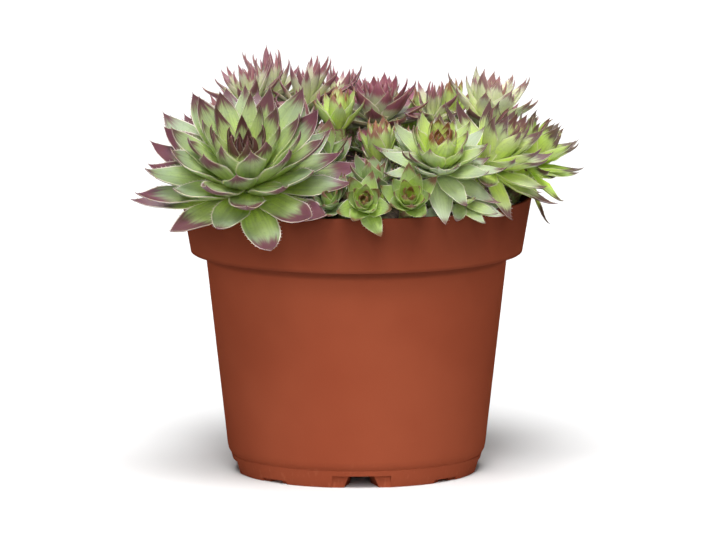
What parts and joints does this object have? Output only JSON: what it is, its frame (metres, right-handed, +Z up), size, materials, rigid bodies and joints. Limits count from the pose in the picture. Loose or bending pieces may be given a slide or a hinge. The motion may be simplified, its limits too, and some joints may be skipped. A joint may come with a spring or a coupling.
{
  "type": "potted houseleek",
  "caption": "Potted houseleek: a crowded clump of succulent leaf rosettes, green with purple tips, rooted in soil in a round terracotta-brown plastic nursery pot.",
  "frame": {"origin": "centre of the pot's foot, on the surface that it stands on", "axes": "+Z up along the pot's axis; -Y is the side that the clump is seen from; +X to the right seen from there"},
  "size_m": [0.1509, 0.1435, 0.1432],
  "materials": {
    "pot": "satin moulded polypropylene, terracotta brown",
    "soil": "moist dark potting soil",
    "leaf_plum": "fleshy leaf, grey-green with wide purple tips, waxy satin",
    "leaf_green": "fleshy leaf, fresh green with brown-purple points, waxy satin",
    "leaf_lime": "fleshy leaf of a young bud, yellow-green, waxy satin"
  },
  "bodies": {
    "root": {"pot": "pot", "soil": "soil", "rosette_big": "leaf_plum", "bud_front_left": "leaf_lime", "bud_front_right": "leaf_lime", "cup_front_right": "leaf_green", "fan_right": "leaf_green", "fan_far_right": "leaf_green", "bud_middle": "leaf_lime", "tuft_front": "leaf_green", "purple_cup": "leaf_plum", "bud_inner_left": "leaf_lime", "cup_top_right": "leaf_green", "spike_left": "leaf_plum", "spike_back_left": "leaf_plum", "spike_middle": "leaf_plum", "spike_behind": "leaf_plum", "spike_right": "leaf_plum", "bud_right": "leaf_lime", "edge_left": "leaf_plum", "tuft_inner": "leaf_green", "tuft_right": "leaf_green", "cup_behind_left": "leaf_plum", "edge_back_left": "leaf_green", "cup_behind_middle": "leaf_plum", "edge_back_middle": "leaf_lime", "edge_back_right": "leaf_green", "edge_right_back": "leaf_plum", "bud_behind_right": "leaf_lime", "tuft_left": "leaf_green", "tuft_behind_left": "leaf_green", "tuft_back_left": "leaf_lime", "cup_inner_left": "leaf_plum", "tuft_back": "leaf_green", "tuft_back_right": "leaf_lime", "tuft_right_edge": "leaf_green", "tuft_behind_right": "leaf_plum"}
  },
  "joints": []
}
